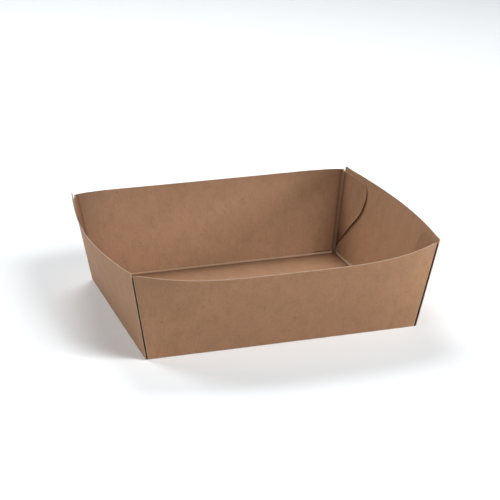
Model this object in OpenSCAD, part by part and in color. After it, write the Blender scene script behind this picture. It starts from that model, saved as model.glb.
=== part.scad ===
// Open food tray folded from one blank of brown paperboard.
// The two long walls run on round the corners as glue flaps, which lie inside the two short walls.
// The bottom folds are straight and the corners are held in, so every wall bows outwards at its rim.
// The origin is the middle of the underside: +X runs along the length, +Z is up. Millimetres.

/* [Base] */
// Length of the base, between the corner folds of the long walls
base_length = 149.3; // [100:0.1:220]
// Width of the base, between the bottom folds of the long walls
base_width = 124; // [90:1:180]

/* [Long walls] */
// Height of a long wall at its ends, measured up the slope of the board
wall_height = 50.8; // [46:0.1:70]
// How much higher the cut edge is at the middle of a long wall than at its ends, up the slope
long_wall_crown = 0.6; // [0:0.1:3]
// Lean of a long wall at its ends, in degrees from upright
long_wall_lean = 8.7; // [4:0.1:16]
// How far the rim of a long wall bows out beyond its ends
long_wall_bow = 13.2; // [4:0.1:18]
// How flat the bow of a long wall is in its middle
long_wall_flatness = 4; // [2:0.1:6]
// Radius where the rim of a long wall turns down into its corner fold
rim_corner_radius = 1.4; // [0.8:0.1:3]

/* [Short walls] */
// How much taller the short walls are cut than the long ones, which leaves an ear at each corner
ear_height = 1.2; // [0.4:0.1:5]
// Lean of a short wall at its ends, in degrees from upright
short_wall_lean = 9.8; // [4:0.1:16]
// How far the rim of a short wall bows out beyond its ends
short_wall_bow = 7.4; // [0:0.1:14]
// How flat the bow of a short wall is in its middle
short_wall_flatness = 1.8; // [1.6:0.1:5]
// How far a short wall's side edges stand out past the long walls
side_lap = 0.3; // [0:0.05:1]

/* [Board] */
// Thickness of the board
board = 0.5; // [0.35:0.05:0.8]
// Radius of the raised bead that the crease leaves along every fold
bead_radius = 0.75; // [0.6:0.05:1.1]
// Width of the slit between a corner fold and the short wall that lies over it
fold_clearance = 0.45; // [0.1:0.05:0.6]

/* [Glue flaps] */
// How far a flap reaches from its corner fold at its widest
flap_reach = 28.8; // [20:0.1:32]
// Height up the corner fold at which the line of a flap's lower free edge would meet it
flap_foot = 3.6; // [2:0.1:8]
// Angle of the lower free edge of a flap above the bottom fold
flap_angle = 46; // [40:1:50]
// Radius of the elbow where the lower free edge turns upright
flap_elbow_radius = 20; // [10:0.5:26]
// Radius of the upper tip of a flap
flap_tip_radius = 6.5; // [2:0.1:8]
// Slope of the top edge of a flap, in degrees down from the fold
flap_top_slope = 3; // [0:0.5:6]
// How far the free edge of a flap has sprung off the short wall
flap_lift = 0.8; // [0.2:0.1:1.6]
// How deep the glued part of a flap is pressed into the short wall
glue_press = 0.2; // [0.15:0.05:0.25]
// How far from its fold a flap comes to lie flat on the short wall
flap_settle = 12; // [8:0.5:16]

/* [Hidden] */

board_brown = "#a07a5a";
half_length = base_length / 2;
half_width = base_width / 2;
// Steps along a wall, up each wall, round a curve of the flap, across it and round the rim's corner
wall_steps = 32;
long_rise_steps = 4;
short_rise_steps = 6;
curve_steps = 6;
flap_steps = 5;
corner_steps = 4;
// Small step with which a surface's slope is taken
probe = 0.001;
// A bead's centre lies this share of its radius inside the outer face of a leaning wall
bead_inset = 0.75;

short_wall_height = wall_height + ear_height;
long_corner_up = wall_height * cos(long_wall_lean);
short_corner_up = short_wall_height * cos(short_wall_lean);
// A short wall lies one board outside the corner folds, and each wall starts level with the bead
short_step = board + fold_clearance;
wall_foot = bead_radius / wall_height;

// Share of the full bow at a place along a wall, from -1 at one end to 1 at the other
function bow(place, flatness) = 1 - pow(abs(place), flatness);

// Outer face of the long wall on the +Y side: place runs along it, rise from 0 to 1 up it
function long_out(place) =
    wall_height * sin(long_wall_lean) + long_wall_bow * bow(place, long_wall_flatness);
function long_slope(place) = wall_height + long_wall_crown * bow(place, long_wall_flatness);
function long_up(place) = sqrt(pow(long_slope(place), 2) - pow(long_out(place), 2));
long_face = function (place, rise) [
    place * (half_length + rise * long_corner_up * tan(short_wall_lean)),
    half_width + rise * long_out(place),
    rise * long_up(place)
];

// Outer face of the short wall on the +X side: place runs along it, rise from 0 to 1 up it
function short_out(place) =
    short_wall_height * sin(short_wall_lean) + short_wall_bow * bow(place, short_wall_flatness);
function short_up(place) = sqrt(pow(short_wall_height, 2) - pow(short_out(place), 2));
function corner_width(rise) = half_width + rise * short_corner_up * tan(long_wall_lean);
short_face = function (place, rise) [
    half_length + short_step + rise * short_out(place),
    place * corner_width(rise),
    rise * short_up(place)
];

// A point off a face by a distance square to it: inwards on the long wall, outwards on the short one
function square_to(face, place, rise) =
    let (along = face(place + probe, rise) - face(place - probe, rise))
    let (up = face(place, rise + probe) - face(place, rise - probe))
    let (square = cross(along, up))
    square / norm(square);
function off_face(face, place, rise, distance) =
    face(place, rise) + distance * square_to(face, place, rise);

// Places along a wall, closer together near its ends, where the bow is tightest
function wall_places(reach) = [for (i = [0:wall_steps]) reach * sin(180 * i / wall_steps - 90)];

// A closed sheet between two like grids of points, each a list of rows
module sheet(near_rows, far_rows) {
    rows = len(near_rows);
    columns = len(near_rows[0]);
    points = [for (grid = [near_rows, far_rows]) for (row = grid) each row];
    function at(side, row, column) = (side * rows + row) * columns + column;
    function two(a, b, c, d) = [[a, c, b], [a, d, c]];
    cells = [for (r = [0:rows - 2]) for (c = [0:columns - 2]) [r, c]];
    faces = [
        for (cell = cells) let (r = cell[0], c = cell[1])
            each two(at(0, r, c), at(0, r + 1, c), at(0, r + 1, c + 1), at(0, r, c + 1)),
        for (cell = cells) let (r = cell[0], c = cell[1])
            each two(at(1, r, c), at(1, r, c + 1), at(1, r + 1, c + 1), at(1, r + 1, c)),
        for (c = [0:columns - 2])
            each two(at(0, 0, c), at(0, 0, c + 1), at(1, 0, c + 1), at(1, 0, c)),
        for (c = [0:columns - 2]) let (r = rows - 1)
            each two(at(0, r, c), at(1, r, c), at(1, r, c + 1), at(0, r, c + 1)),
        for (r = [0:rows - 2])
            each two(at(0, r, 0), at(1, r, 0), at(1, r + 1, 0), at(0, r + 1, 0)),
        for (r = [0:rows - 2]) let (c = columns - 1)
            each two(at(0, r, c), at(0, r + 1, c), at(1, r + 1, c), at(1, r, c))
    ];
    polyhedron(points, faces);
}

// The rim of a long wall turns down by this much of its height close to its ends
function rim_rise(place) =
    let (into = max(0, rim_corner_radius - (1 - abs(place)) * half_length))
    1 - (rim_corner_radius - sqrt(pow(rim_corner_radius, 2) - pow(into, 2))) / wall_height;

module long_wall() {
    round_share = rim_corner_radius / half_length;
    inner_places = wall_places(1 - round_share);
    end_places = [for (i = [1:corner_steps]) 1 - round_share * (1 - sin(90 * i / corner_steps))];
    start_places = [for (i = [corner_steps - 1:-1:0]) -end_places[i]];
    places = concat(start_places, inner_places, end_places);
    function row(step, depth) = [
        for (place = places)
            let (share = step / long_rise_steps)
                off_face(long_face, place, wall_foot + (rim_rise(place) - wall_foot) * share, depth)
    ];
    function grid(depth) = [for (step = [0:long_rise_steps]) row(step, depth)];
    sheet(grid(0), grid(board));
}

module short_wall() {
    lap = 1 + side_lap / half_width;
    function row(step, depth) = [
        for (place = wall_places(lap))
            off_face(short_face, place, wall_foot + (1 - wall_foot) * step / short_rise_steps, -depth)
    ];
    function grid(depth) = [for (step = [0:short_rise_steps]) row(step, depth)];
    sheet(grid(board), grid(0));
}

// A flap's top starts where the rim has turned down, and its elbow takes the room that its tip leaves
flap_top = wall_height - rim_corner_radius;
tip_height = flap_top - flap_reach * tan(flap_top_slope);
tip_run = flap_tip_radius * tan((90 - flap_top_slope) / 2);
elbow_height = flap_foot + flap_reach * tan(flap_angle);
elbow_turn = 90 - flap_angle;
elbow_run = min(flap_elbow_radius * tan(elbow_turn / 2), tip_height - tip_run - elbow_height);
elbow_radius = elbow_run / tan(elbow_turn / 2);
elbow_start = [flap_reach - elbow_run * cos(flap_angle), elbow_height - elbow_run * sin(flap_angle)];
foot_start = [2 * bead_radius, flap_foot + 2 * bead_radius * tan(flap_angle)];

// Free edge of a flap as [reach from the fold, height up the slope], from its foot to its upper tip
flap_edge = [
    for (i = [0:curve_steps - 1])
        foot_start + (elbow_start - foot_start) * i / curve_steps,
    for (i = [0:curve_steps]) let (turn = elbow_turn * (1 - i / curve_steps))
        [flap_reach - elbow_radius * (1 - cos(turn)), elbow_height + elbow_run - elbow_radius * sin(turn)],
    for (i = [0:curve_steps]) let (turn = (90 - flap_top_slope) * i / curve_steps)
        [flap_reach - flap_tip_radius * (1 - cos(turn)), tip_height - tip_run + flap_tip_radius * sin(turn)]
];

// Glue flap at the +X +Y corner. From its fold it comes to lie on the inside of the short wall, glued there, and its
// free edge has sprung off a little
module flap() {
    last = len(flap_edge) - 1;
    start = 2 * bead_radius;
    function fold_height(i) = start + (flap_top - start) * i / last;
    function off_wall(reach) = (fold_clearance + glue_press) * pow(max(0, 1 - reach / flap_settle), 2);
    function spot(i, across, depth) =
        let (edge = flap_edge[i])
        let (reach = bead_radius + (edge[0] - bead_radius) * across)
        let (rise = (fold_height(i) + (edge[1] - fold_height(i)) * across) / short_wall_height)
        let (sprung = (1 + sin(180 * i / last)) / 2)
        let (lift = (glue_press + flap_lift) * sprung * pow(across, 4))
        off_face(short_face, 1 - reach / corner_width(rise), rise, -depth - lift - off_wall(reach));
    function grid(depth) = [
        for (i = [0:last]) [for (step = [0:flap_steps]) spot(i, step / flap_steps, depth)]
    ];
    sheet(grid(board - glue_press), grid(2 * board - glue_press));
}

// Raised bead along one fold
module bead(from, to) {
    hull()
        for (end = [from, to])
            translate(end)
                sphere(r = bead_radius, $fn = 16);
}

bead_in = bead_inset * bead_radius;
base_corner = [half_length - bead_in, half_width - bead_in, bead_radius];
outer_corner = base_corner + [short_step, 0, 0];
rim_corner = long_face(1, (flap_top - bead_radius) / wall_height) - [bead_radius, bead_radius, 0];

module base_panel() {
    translate([-outer_corner[0], -base_corner[1], 0])
        cube([2 * outer_corner[0], 2 * base_corner[1], board]);
}

module tray() {
    color(board_brown)
        union() {
            base_panel();
            for (side = [0, 1])
                mirror([0, side, 0]) {
                    long_wall();
                    bead([-base_corner[0], base_corner[1], base_corner[2]], base_corner);
                }
            for (end = [0, 1])
                mirror([end, 0, 0]) {
                    short_wall();
                    bead([outer_corner[0], -outer_corner[1], outer_corner[2]], outer_corner);
                    for (side = [0, 1])
                        mirror([0, side, 0]) {
                            flap();
                            bead(base_corner, rim_corner);
                        }
                }
        }
}

tray();
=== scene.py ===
import math

import bmesh
import bpy
from mathutils import Euler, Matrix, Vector


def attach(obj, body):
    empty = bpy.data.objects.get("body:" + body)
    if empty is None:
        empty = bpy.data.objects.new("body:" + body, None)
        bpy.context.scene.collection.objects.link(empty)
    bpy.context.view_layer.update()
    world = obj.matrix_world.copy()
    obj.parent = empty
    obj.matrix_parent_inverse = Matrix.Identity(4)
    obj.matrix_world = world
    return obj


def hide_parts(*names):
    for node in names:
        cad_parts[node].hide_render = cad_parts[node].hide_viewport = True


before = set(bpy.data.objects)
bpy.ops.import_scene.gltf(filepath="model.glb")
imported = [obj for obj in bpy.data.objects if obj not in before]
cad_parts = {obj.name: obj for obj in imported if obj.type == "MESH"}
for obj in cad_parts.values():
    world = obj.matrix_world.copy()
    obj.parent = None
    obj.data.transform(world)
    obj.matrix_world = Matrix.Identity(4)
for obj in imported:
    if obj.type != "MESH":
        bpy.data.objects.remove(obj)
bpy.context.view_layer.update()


# The folded tray
# One blank of brown paperboard, die cut and creased, then folded up. Its long walls run on round the corners
# as flaps, glued to the inside of the short walls. Every crease leaves a raised bead inside, the board shows
# its paler core along each cut, and the free edges of the flaps have sprung off a little.
# Its colour carries painted shade in the folds, nooks and slits, and a painted highlight on the bends.
board = 0.0005
half_length = 0.07455
half_width = 0.062

# Long wall: height up its slope, crown of its rim, lean at its ends, and the bow of its middle
wall_height = 0.0508
rim_crown = 0.0006
long_lean = math.radians(8.7)
long_bow = 0.0132
long_flatness = 4

# Short wall: it stands a step outside the corner fold, past an open slit, and its ends rise into ears
short_height = 0.0520
short_lean = math.radians(9.8)
short_bow = 0.0074
short_flatness = 1.8
slit = 0.00055
short_step = board + slit
side_lap = 0.00025
foot_inset = 0.0007
ear_rise = 0.0005
ear_drop = 0.0005
ear_round = 0.0008

# Folds: the radius outside, the bead inside, and the rim's rounding over a corner fold
fold_radius = 0.0008
bead_leg = 0.00125
bead_rise = 0.00048
corner_bead = 0.0002
rim_drop = 0.0010
rim_round = 0.0016
rim_run = bead_leg * 1.4

# Room that a bottom fold takes from the base and from a wall, and the base left between the folds
crease_room = 0.0026
crease_top = 0.0016
base_long = half_length + short_step - crease_room
base_wide = half_width - crease_room

# Flap: heights of its foot and top, the lip below it, the run over which it comes to lie on the short wall,
# and the reach from the fold at which its outer and its inner face begin
flap_foot = 0.0022
flap_top = 0.0498
flap_lip = 0.0016
settle_run = 0.007
outer_start = 0.0004
inner_start = 0.0019
spring_ends = 0.00012
spring_middle = 0.00068

# Columns and rows of points in each panel
long_columns = 46
short_columns = 38
corner_columns = 10
flap_columns = 14
crease_rows = 10
wall_rows = 26
crease_end = crease_rows + 1
strip_rows = crease_end + 1 + wall_rows + 1

# A hair keeps two faces of the board apart, a weld joins points, and a gauge is a height to read a slope at
hair = 0.00003
weld = 2e-6
gauge = 0.01
in_y = Vector((0, -1, 0))
in_x = Vector((-1, 0, 0))


def reached(value, start, end):
    """How much of the way from start to end a value has come, from 0 to 1."""
    return min(1, max(0, (value - start) / (end - start)))


def hump(share):
    """0 at both ends and 1 in the middle."""
    return max(0, math.sin(math.pi * share))


def bow(place, flatness):
    """How much of a wall's bow there is at a place along it, from 1 at its middle to 0 at its ends."""
    return 1 - abs(place) ** flatness


def long_face(place, height):
    """Outside of the long wall, by the share of its half length and the height up its slope."""
    out = wall_height * math.sin(long_lean) + long_bow * bow(place, long_flatness)
    slope = wall_height + rim_crown * bow(place, long_flatness)
    rise = height / slope
    spread = wall_height * math.cos(long_lean) * math.tan(short_lean)
    return Vector((
        place * (half_length + rise * spread),
        half_width + rise * out,
        rise * math.sqrt(slope ** 2 - out ** 2),
    ))


def short_width(height):
    """Half the width of the short wall at a height up its slope."""
    return half_width + height * math.cos(short_lean) * math.tan(long_lean)


def short_face(place, height):
    """Outside of the short wall, by the share of its half width and the height up its slope."""
    out = short_height * math.sin(short_lean) + short_bow * bow(place, short_flatness)
    rise = height / short_height
    return Vector((
        half_length + short_step + rise * out,
        place * short_width(height),
        rise * math.sqrt(short_height ** 2 - out ** 2),
    ))


def inward(face, place, height, turn):
    """The way in through the board, square to a wall's face."""
    step = 1e-5
    along = face(place + step, height) - face(place - step, height)
    up = face(place, height + step) - face(place, height - step)
    return (along.cross(up) * turn).normalized()


def flap_face(reach, height, depth):
    """Outside of a flap, or its inside at the depth of the board. Past its fold it nears the short wall."""
    place = 1 - reach / short_width(height)
    share = min(1, reach / settle_run)
    gap = hair + (slit - hair) * (1 - share * share * (3 - 2 * share))
    return short_face(place, height) + inward(short_face, place, height, -1) * (board + gap + depth)


def inner_corner(corner, side_a, side_b):
    middle = (side_a + side_b).normalized()
    return corner + middle * board / math.sin(side_a.angle(side_b) / 2)


def crease(corner, inner, side_a, side_b, share, bead, swell=bead_rise):
    """A fold's section between two sides that leave its corner: its rounded outside, and the bead inside."""
    middle = (side_a + side_b).normalized()
    half_angle = side_a.angle(side_b) / 2
    hub = corner + middle * fold_radius / math.sin(half_angle)
    start = corner + side_a * fold_radius / math.tan(half_angle) - hub
    end = corner + side_b * fold_radius / math.tan(half_angle) - hub
    spoke = start.normalized().slerp(end.normalized(), share)
    outside = hub + spoke * fold_radius
    unraised = hub + spoke * (fold_radius - board)
    foot_a = inner + side_a * bead_leg
    foot_b = inner + side_b * bead_leg
    raised = foot_a.lerp(foot_b, share) + middle * swell * hump(share) ** 0.6
    return outside, unraised.lerp(raised, bead)


def corner_section(height, share):
    """The corner fold, level with a height up the slope, from the long wall to the flap."""
    beside_fold, onto_flap = 0.98, 0.002
    corner = long_face(1, height)
    to_wall = (long_face(beside_fold, height) - corner).normalized()
    to_flap = (flap_face(onto_flap, height, 0) - flap_face(0, height, 0)).normalized()
    inner = inner_corner(corner, to_wall, to_flap)
    return crease(corner, inner, to_wall, to_flap, share, 1, corner_bead)


# Outline of a flap's free edge, as reach from the fold and height up the slope, from its foot to its upper
# tip: a slanting stretch, a wide elbow, an upright stretch, and a tight round below a top that falls a little
def flap_outline(steps):
    reach = 0.0288
    foot_reach = 0.0018
    sole = 0.0036
    angle = math.radians(46)
    elbow = 0.020
    tip = 0.0065
    fall = math.radians(3)
    fine = 40

    tip_height = flap_top - reach * math.tan(fall)
    tip_run = tip * math.tan((math.pi / 2 - fall) / 2)
    elbow_height = sole + reach * math.tan(angle)
    turn = math.pi / 2 - angle
    run = min(elbow * math.tan(turn / 2), tip_height - tip_run - elbow_height)
    elbow = run / math.tan(turn / 2)

    def arc(x, y, radius, start, end):
        angles = [start + (end - start) * i / fine for i in range(fine + 1)]
        return [Vector((x + radius * math.cos(a), y + radius * math.sin(a))) for a in angles]

    foot = Vector((foot_reach, sole + foot_reach * math.tan(angle)))
    bend = Vector((reach - run * math.cos(angle), elbow_height - run * math.sin(angle)))
    path = [foot.lerp(bend, i / fine) for i in range(fine)]
    path += arc(reach - elbow, elbow_height + run, elbow, -turn, 0)
    path += arc(reach - tip, tip_height - tip_run, tip, 0, math.pi / 2 - fall)

    lengths = [0]
    for a, b in zip(path, path[1:]):
        lengths.append(lengths[-1] + (b - a).length)
    edge, at = [], 0
    for i in range(steps + 1):
        want = lengths[-1] * i / steps
        while at < len(path) - 2 and lengths[at + 1] < want:
            at += 1
        share = (want - lengths[at]) / max(lengths[at + 1] - lengths[at], 1e-9)
        edge.append(path[at].lerp(path[at + 1], min(share, 1)))
    return edge


def spaced(count, reach, pull):
    """Steps from 0 to reach, drawn together towards the end by pull."""
    return [reach * (1 - (1 - i / count) * (1 - pull * i / count)) for i in range(count + 1)]


long_places = spaced(long_columns, 1 - crease_room / half_length, 0.45)
short_places = spaced(short_columns, 1, 0.5)
flap_edge = flap_outline(wall_rows)


# The board's tone at a point is three shares: pale on a bend, partly wear and partly a painted highlight,
# painted shade beside a bead, in a nook, towards a rim and by a corner, and painted shade in a corner's slit
plain = (0, 0, 0)
fold_shade = 0.6
nook_reach = 0.011
valley_reach = 0.16
crest_wear_and_highlight = 0.4
far_valley_shade = 0.9


def valley(share):
    """1 in the two sharp valleys beside a bead, and 0 on the bead: where the painted valley shade goes."""
    return max(0, 1 - min(share, 1 - share) / valley_reach)


def bead_tone(share):
    """The inside of a bottom fold: a pale crest, partly wear and partly a painted highlight, and painted
    shade in its valleys, most in the one beside the base.
    """
    painted_shade = valley(share) * (1 if share < 0.5 else far_valley_shade)
    return (crest_wear_and_highlight * hump(share) ** 3, painted_shade, 0)


def depth_in_slit(share):
    """How far a point of the corner fold's outer face has turned into the slit, and so how much painted slit
    shade it takes.
    """
    return reached(share, 0.45, 0.75)


def hidden_margin(place):
    """1 on the margin of the short wall that the corner fold covers, where painted slit shade goes."""
    return reached(place, 0.975, 0.99)


def row_height(row, top):
    """Height up the slope of a strip's row above its crease. The first such row closes the crease."""
    step = row - crease_end - 1
    if step == 0:
        return crease_top
    return flap_foot + (top - flap_foot) * (step - 1) / wall_rows


def rounded_off(top, run, reach, drop):
    """Height of a rim that rounds off by a drop over a reach, at a run before its end."""
    near = 1 - min(1, run / reach)
    return top - drop * (1 - math.sqrt(max(0, 1 - near ** 2)))


# Each of these gives a point's place on the outer face and on the inner one, and the tone of either face
def base_point(column, row):
    x = long_places[column] * half_length if column <= long_columns else base_long
    y = short_places[row] * base_wide
    # Painted shade on the inside of the base, darkest beside the folds
    from_fold = min(base_wide - y, base_long - x)
    nook_shade = fold_shade * max(0, 1 - from_fold / nook_reach) ** 2
    return Vector((x, y, 0)), Vector((x, y, board)), plain, (0, nook_shade, 0)


def long_point(column, row):
    place = long_places[column]
    foot = long_face(place, 0)
    up = (long_face(place, gauge) - foot).normalized()
    if row == 0:
        x = place * half_length
        return Vector((x, base_wide, 0)), Vector((x, base_wide, board)), plain, (0, fold_shade, 0)
    if row <= crease_end:
        share = (row - 1) / crease_rows
        outside, inside = crease(foot, inner_corner(foot, in_y, up), in_y, up, share, 1)
        # Outside the fold a pale band, partly wear and partly a painted highlight; inside, the bead's painted
        # tones
        return outside, inside, (hump(share), 0, 0), bead_tone(share)
    height = row_height(row, wall_height + rim_crown * bow(place, long_flatness))
    outside = long_face(place, height)
    inside = outside + inward(long_face, place, height, 1) * board
    # Painted shade on the inside of the wall, darker towards its rim and by the corners
    level = height / wall_height
    shade_towards_rim = 0.28 * level ** 2
    shade_by_corner = 0.5 * place ** 6 * min(1, 1.4 - abs(level - 0.6))
    return outside, inside, plain, (0, shade_towards_rim + shade_by_corner, 0)


def corner_point(column, row):
    share = column / corner_columns
    low_out, low_in = corner_section(0.0, share)
    high_out, high_in = corner_section(gauge, share)
    up = (high_out - low_out).normalized()
    away = in_y.slerp(in_x, share)
    foot = low_in + (high_in - low_in) * (board - low_in.z) / (high_in.z - low_in.z)
    if row == 0:
        tuck = crease_room * (1 + 0.7 * hump(share))
        outside, inside = low_out + away * tuck, foot + away * tuck
        outside.z, inside.z = hair, board - hair
        return outside, inside, plain, (0, fold_shade, 0)
    if row <= crease_end:
        rise = (row - 1) / crease_rows
        outside, inside = crease(low_out, foot, away, up, rise, 1)
        # Pale on the outer fold, partly wear and partly a painted highlight, painted slit shade where it
        # turns into the slit, and painted shade inside
        wear_and_highlight = max(hump(share), hump(rise))
        nook_shade = max(valley(share), valley(rise), 0.75)
        return outside, inside, (wear_and_highlight, 0, depth_in_slit(share)), (0, nook_shade, 0)
    before_fold = rim_run * (1 - min(1, 2 * share))
    height = row_height(row, rounded_off(wall_height, before_fold, rim_round, rim_drop))
    outside, inside = corner_section(height, share)
    # Painted shade inside the corner, darker lower down
    nook_shade = 0.5 + 0.3 * (1 - height / wall_height)
    wear_and_highlight = hump(min(1, share * 1.6))
    return outside, inside, (wear_and_highlight, 0, depth_in_slit(share)), (0, max(valley(share), nook_shade), 0)


def long_strip_point(column, row):
    """The long wall and the corner fold are one strip."""
    if column <= long_columns:
        return long_point(column, row)
    return corner_point(column - long_columns - 1, row)


def flap_point(column, row):
    """A flap's row runs from the corner fold, a height up it, to the free edge. A lip runs on to the base."""
    share = column / flap_columns
    if row <= crease_end:
        outside, inside = corner_point(corner_columns, row)[:2]
        along = Vector((0, -flap_lip * share, hair * min(1, 4 * share)))
        # The lip takes painted slit shade outside and full painted shade inside
        return outside + along, inside + along, (0, 0, 1), (0, 1, 0)
    start = row_height(row, flap_top)
    step = row - crease_end - 2
    edge = flap_edge[step] if step >= 0 else Vector((flap_lip, crease_top))
    fold_out, fold_in = corner_section(start, 1)
    across = 1 - (1 - share) ** 1.15
    spring = spring_ends + spring_middle * hump((max(0, step) / wall_rows) ** 0.8) ** 1.2
    faces = []
    for fold, depth, first in ((fold_out, 0, outer_start), (fold_in, board, inner_start)):
        off_face = fold - flap_face(first, start, depth)
        reach = first + (edge.x - first) * across
        height = start + (edge.y - start) * across
        place = 1 - reach / short_width(height)
        lift = inward(short_face, place, height, -1) * spring * share ** 5
        faces.append(flap_face(reach, height, depth) + off_face * (1 - share) ** 2 + lift)
    # Painted slit shade on the flap's outside; painted shade inside, darker by the fold and towards the foot
    level = height / flap_top
    shade_by_fold = (1 - min(1, reach / 0.009)) ** 2 * (1.05 - 0.6 * level)
    shade_by_foot = max(0, 1 - level / 0.4)
    nook_shade = 1 if column == 0 else min(1, 0.2 + shade_by_fold + shade_by_foot)
    return faces[0], faces[1], (0, 0, 1), (0, nook_shade, 0)


def short_point(column, row):
    place = short_places[column]
    if row == 0:
        y = place * base_wide
        return Vector((base_long, y, 0)), Vector((base_long, y, board)), plain, (0, fold_shade, 0)
    lap = side_lap * reached(place, 0.9, 1) ** 2
    if row <= crease_end:
        share = (row - 1) / crease_rows
        narrow = half_width - foot_inset
        width = narrow + (half_width + lap - narrow) * math.sin(math.pi / 2 * share) ** 0.7
        foot = Vector((half_length + short_step, place * width, 0))
        up = short_face(place, gauge) - short_face(place, 0)
        up.y = 0
        up.normalize()
        bead = 1 - reached(place, 0.94, 0.97)
        outside, inside = crease(foot, inner_corner(foot, in_x, up), in_x, up, share, bead)
        # Outside a pale band, partly wear and partly a painted highlight; inside the bead's painted tones,
        # and painted slit shade on the covered margin
        pale_wear_and_highlight, painted_shade, _ = bead_tone(share)
        return outside, inside, (hump(share), 0, 0), (pale_wear_and_highlight * bead, painted_shade * bead, hidden_margin(place))
    top = rounded_off(short_height, (1 - place) * half_width, ear_round, ear_drop)
    height = row_height(row, top + ear_rise * reached(place, 0.85, 1) ** 2)
    outside = short_face(place, height) + Vector((0, lap, 0))
    inside = outside + inward(short_face, place, height, -1) * board
    # Painted slit shade on the inside margin below the flap's top
    return outside, inside, plain, (0, 0, hidden_margin(place) if height < flap_top else 0)


blank = bmesh.new()
inner_face = blank.verts.layers.float_vector.new("inner_face")
board_tone = blank.verts.layers.float_vector.new("board_tone")
inner_tone = blank.verts.layers.float_vector.new("inner_tone")


def lay_panel(columns, rows, point):
    """Lays a panel of a quarter of the blank as a grid, and folds it up by the place of each point."""
    grid = bmesh.ops.create_grid(blank, x_segments=columns, y_segments=rows, size=0.5)
    for vert in grid["verts"]:
        column = round((vert.co.x + 0.5) * columns)
        row = round((vert.co.y + 0.5) * rows)
        vert.co, vert[inner_face], vert[board_tone], vert[inner_tone] = point(column, row)


lay_panel(long_columns + 1, short_columns, base_point)
lay_panel(long_columns + 1 + corner_columns, strip_rows, long_strip_point)
lay_panel(flap_columns, strip_rows, flap_point)
lay_panel(short_columns, strip_rows, short_point)
bmesh.ops.remove_doubles(blank, verts=blank.verts, dist=weld)
for axis in ("X", "Y"):
    quarter = blank.verts[:] + blank.edges[:] + blank.faces[:]
    bmesh.ops.mirror(blank, geom=quarter, merge_dist=weld, axis=axis)
for vert in blank.verts:
    x, y, z = vert[inner_face]
    vert[inner_face] = (math.copysign(x, vert.co.x), math.copysign(y, vert.co.y), z)
bmesh.ops.recalc_face_normals(blank, faces=blank.faces)

# The board's thickness: a copy of the outer face is drawn in to the inner one, with a cut edge all round
thick = bmesh.ops.extrude_face_region(blank, geom=blank.faces[:], use_keep_orig=True)
inner_verts = {item for item in thick["geom"] if isinstance(item, bmesh.types.BMVert)}
for vert in inner_verts:
    vert.co = vert[inner_face]
    vert[board_tone] = vert[inner_tone]
for face in blank.faces:
    face.smooth = True
    inside = sum(vert in inner_verts for vert in face.verts)
    face.material_index = 1 if 0 < inside < len(face.verts) else 0
for edge in blank.edges:
    edge.smooth = len({face.material_index for face in edge.link_faces}) < 2
bmesh.ops.recalc_face_normals(blank, faces=blank.faces)

tray_mesh = bpy.data.meshes.new("folded_tray")
blank.to_mesh(tray_mesh)
blank.free()
folded_tray = bpy.data.objects.new("folded_tray", tray_mesh)
bpy.context.scene.collection.objects.link(folded_tray)


def board_colour(red, green, blue):
    """A colour as a screen shows it, from 0 to 255, in the values that a shader takes."""
    shown = [part / 255 for part in (red, green, blue)]
    return tuple(c / 12.92 if c <= 0.04045 else ((c + 0.055) / 1.055) ** 2.4 for c in shown) + (1,)


def new_material(name):
    material = bpy.data.materials.new(name)
    material.use_nodes = True
    return material, material.node_tree


def grain(tree, size, stretch=(1, 1, 1), turn=(0, 0, 0), detail=4, roughness=0.6):
    """A noise on the board, drawn out along the fibres by its stretch."""
    place = tree.nodes.new("ShaderNodeTexCoord")
    mapping = tree.nodes.new("ShaderNodeMapping")
    mapping.inputs["Scale"].default_value = stretch
    mapping.inputs["Rotation"].default_value = turn
    tree.links.new(place.outputs["Object"], mapping.inputs["Vector"])
    noise = tree.nodes.new("ShaderNodeTexNoise")
    noise.inputs["Scale"].default_value = size
    noise.inputs["Detail"].default_value = detail
    noise.inputs["Roughness"].default_value = roughness
    tree.links.new(mapping.outputs["Vector"], noise.inputs["Vector"])
    return noise.outputs["Fac"]


def grey(tree, source, dark, light):
    """Turns a noise into greys: each of the two stops is a place in the noise and the grey there."""
    ramp = tree.nodes.new("ShaderNodeValToRGB")
    for element, (position, level) in zip(ramp.color_ramp.elements, (dark, light)):
        element.position = position
        element.color = (level, level, level, 1)
    tree.links.new(source, ramp.inputs["Fac"])
    return ramp.outputs["Color"]


def blend(tree, kind, factor, one, two):
    """Mixes two colours, each a plain one or another node's."""
    mix = tree.nodes.new("ShaderNodeMix")
    mix.data_type = "RGBA"
    mix.blend_type = kind
    for socket, value in ((mix.inputs[0], factor), (mix.inputs[6], one), (mix.inputs[7], two)):
        if isinstance(value, bpy.types.NodeSocket):
            tree.links.new(value, socket)
        else:
            socket.default_value = value
    return mix.outputs[2]


def board_tones(tree):
    """How much a bend is made pale, partly by wear and partly by a painted highlight, and how much painted
    shade lies beside a bead or in a nook, and in a corner's slit.
    """
    tones = tree.nodes.new("ShaderNodeAttribute")
    tones.attribute_name = "board_tone"
    parts = tree.nodes.new("ShaderNodeSeparateXYZ")
    tree.links.new(tones.outputs["Vector"], parts.inputs["Vector"])
    return parts.outputs


def set_finish(tree, colour, roughness, specular):
    shader = tree.nodes["Principled BSDF"]
    tree.links.new(colour, shader.inputs["Base Color"])
    shader.inputs["Roughness"].default_value = roughness
    shader.inputs["Specular IOR Level"].default_value = specular
    return shader


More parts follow.
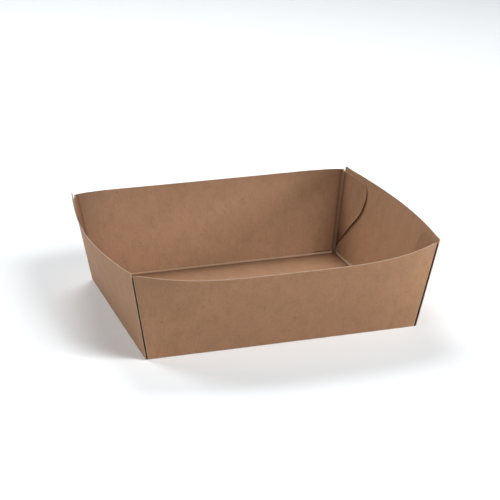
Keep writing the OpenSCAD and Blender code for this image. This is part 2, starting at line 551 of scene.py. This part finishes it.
def kraft_board():
    """Unbleached board, cloudy and fibrous, with sparse dark specks."""
    material, tree = new_material("kraft_board")
    cloudy = grain(tree, 75)
    mottle = grain(tree, 170, stretch=(1, 1, 0.6), turn=(0.2, 0.1, 0.3))
    speck = grain(tree, 620, turn=(0.4, 0.2, 0.1), detail=2, roughness=0.5)
    fibre_long = grain(tree, 1, stretch=(900, 900, 170), turn=(0.04, 0.05, 0.2))
    fibre_wide = grain(tree, 1, stretch=(2300, 2300, 520), turn=(-0.3, 0.2, -0.3))
    pulp = grain(tree, 1500, detail=3)
    clouds = grey(tree, cloudy, (0.35, 0), (0.65, 1))
    brown = blend(tree, "MIX", clouds, board_colour(162, 123, 91), board_colour(167, 126, 95))
    brown = blend(tree, "MULTIPLY", 0.6, brown, grey(tree, mottle, (0.34, 0.84), (0.56, 1)))
    brown = blend(tree, "MULTIPLY", 0.5, brown, grey(tree, fibre_long, (0.3, 0.8), (0.6, 1)))
    brown = blend(tree, "MULTIPLY", 0.5, brown, grey(tree, fibre_wide, (0.3, 0.82), (0.6, 1)))
    brown = blend(tree, "MULTIPLY", 0.8, brown, grey(tree, speck, (0.26, 0.6), (0.31, 1)))
    brown = blend(tree, "MULTIPLY", 0.35, brown, grey(tree, pulp, (0.25, 0.72), (0.5, 1)))

    # Painted light: bends made pale, partly wear and partly a painted highlight, painted shade in valleys and
    # nooks, and painted shade in a corner's slit
    wear_and_highlight, painted_shade, slit_shade = board_tones(tree)
    pale_wear_and_highlight = blend(tree, "MIX", 0.46, brown, board_colour(218, 196, 174))
    brown = blend(tree, "MIX", wear_and_highlight, brown, pale_wear_and_highlight)
    valley_shade_colour = blend(tree, "MULTIPLY", 0.8, brown, board_colour(98, 69, 50))
    brown = blend(tree, "MIX", painted_shade, brown, valley_shade_colour)
    slit_shade_colour = blend(tree, "MULTIPLY", 0.93, brown, board_colour(92, 54, 34))
    brown = blend(tree, "MIX", slit_shade, brown, slit_shade_colour)

    shader = set_finish(tree, brown, roughness=0.62, specular=0.3)
    bump = tree.nodes.new("ShaderNodeBump")
    bump.inputs["Strength"].default_value = 0.35
    bump.inputs["Distance"].default_value = 0.00008
    pulp_height = grey(tree, pulp, (0, 0), (1, 1))
    fibre_height = grey(tree, fibre_long, (0, 0), (1, 1))
    relief = blend(tree, "MIX", 0.5, pulp_height, fibre_height)
    tree.links.new(relief, bump.inputs["Height"])
    tree.links.new(bump.outputs["Normal"], shader.inputs["Normal"])
    return material


def cut_board_edge():
    """The board's paler core, torn a little by the die."""
    material, tree = new_material("cut_board_edge")
    fluff = grey(tree, grain(tree, 1, stretch=(900, 900, 5000), detail=3), (0.3, 0), (0.7, 1))
    core = blend(tree, "MIX", fluff, board_colour(154, 129, 110), board_colour(177, 151, 130))
    # Painted shade darkens the cut edges inside a corner's slit
    slit_shade = board_tones(tree)[2]
    slit_shade_colour = blend(tree, "MULTIPLY", 0.7, core, board_colour(70, 48, 36))
    core = blend(tree, "MIX", slit_shade, core, slit_shade_colour)
    set_finish(tree, core, roughness=0.85, specular=0.2)
    return material


tray_mesh.materials.append(kraft_board())
tray_mesh.materials.append(cut_board_edge())

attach(folded_tray, "root")
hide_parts("tray")


# Floor
# A plain white sweep of paper, level with the underside. It keeps the tray's shadow, and it is a little
# bluish to the camera so that it comes out as a neutral white.
floor_reach = 6
sweep = bmesh.new()
bmesh.ops.create_grid(sweep, x_segments=1, y_segments=1, size=floor_reach)
floor_mesh = bpy.data.meshes.new("floor")
sweep.to_mesh(floor_mesh)
sweep.free()
floor = bpy.data.objects.new("floor", floor_mesh)
bpy.context.scene.collection.objects.link(floor)
white_paper, paper_tree = new_material("white_paper")
rays = paper_tree.nodes.new("ShaderNodeLightPath")
to_camera = rays.outputs["Is Camera Ray"]
paper = blend(paper_tree, "MIX", to_camera, (0.8, 0.8, 0.8, 1), (0.89, 0.915, 0.93, 1))
set_finish(paper_tree, paper, roughness=0.9, specular=0)
floor_mesh.materials.append(white_paper)


# Light
# Soft round lamps on a ring round the table: the key low on the right of the front, one above the front, and
# the fill from behind and from the left. The bearing counts from the right towards the back. The world adds
# a faint cool fill, and shows as white to the camera.
lamp_distance = 1.3
cool_white = (0.93, 0.97, 1, 1)


def soft_lamp(name, bearing, elevation, power, size=0.6, colour=(1, 1, 1)):
    light = bpy.data.lights.new(name, "AREA")
    light.shape = "DISK"
    light.size = size
    light.color = colour
    light.energy = power
    lamp = bpy.data.objects.new(name, light)
    turn, rise = math.radians(bearing), math.radians(elevation)
    aim = Vector((math.cos(turn) * math.cos(rise), math.sin(turn) * math.cos(rise), math.sin(rise)))
    lamp.location = aim * lamp_distance
    lamp.rotation_euler = aim.to_track_quat("Z", "Y").to_euler()
    bpy.context.scene.collection.objects.link(lamp)


soft_lamp("key_lamp", -32, 18, 8.2, size=0.3)
soft_lamp("front_lamp", -57, 49, 10.5)
soft_lamp("back_lamp", 82, 55, 8.0)
soft_lamp("back_left_lamp", 135, 36, 7.0)
soft_lamp("left_lamp", -155, 22, 3.5, colour=(0.9, 0.96, 1))

room = bpy.data.worlds.new("room")
room.use_nodes = True
bpy.context.scene.world = room
nodes, links = room.node_tree.nodes, room.node_tree.links
fill = nodes["Background"]
fill.inputs["Color"].default_value = cool_white
fill.inputs["Strength"].default_value = 0.03
seen = nodes.new("ShaderNodeBackground")
seen.inputs["Color"].default_value = (1, 1, 1, 1)
seen.inputs["Strength"].default_value = 1
rays = nodes.new("ShaderNodeLightPath")
either = nodes.new("ShaderNodeMixShader")
seen_by = rays.outputs["Is Camera Ray"]
for ray in ("Is Glossy Ray", "Is Transmission Ray"):
    most = nodes.new("ShaderNodeMath")
    most.operation = "MAXIMUM"
    links.new(seen_by, most.inputs[0])
    links.new(rays.outputs[ray], most.inputs[1])
    seen_by = most.outputs["Value"]
links.new(seen_by, either.inputs["Fac"])
links.new(fill.outputs["Background"], either.inputs[1])
links.new(seen.outputs["Background"], either.inputs[2])
links.new(either.outputs["Shader"], nodes["World Output"].inputs["Surface"])


# Camera
# It stands a metre away on the left of the front, looks down on the tray by twenty degrees, and has a long
# lens, whose length is given by the width of the picture.
bearing = math.radians(-17.66)
elevation = math.radians(20.04)
roll = math.radians(-0.08)
distance = 0.952
aim_height = 0.025
picture_pixels = 500
focal_pixels = 1706.5
back = Vector((
    math.sin(bearing) * math.cos(elevation),
    -math.cos(bearing) * math.cos(elevation),
    math.sin(elevation),
))
camera = bpy.data.objects.new("camera", bpy.data.cameras.new("camera"))
camera.data.sensor_width = 36
camera.data.lens = focal_pixels / picture_pixels * camera.data.sensor_width
camera.data.shift_x = 0.0033
camera.data.shift_y = 0.0206
camera.data.clip_start = 0.01
camera.location = Vector((0, 0, aim_height)) + back * distance
camera.rotation_mode = "QUATERNION"
camera.rotation_quaternion = (-back).to_track_quat("-Z", "Y") @ Euler((0, 0, roll)).to_quaternion()
bpy.context.scene.collection.objects.link(camera)
bpy.context.scene.camera = camera
bpy.context.scene.view_settings.view_transform = "Standard"

bpy.context.view_layer.update()
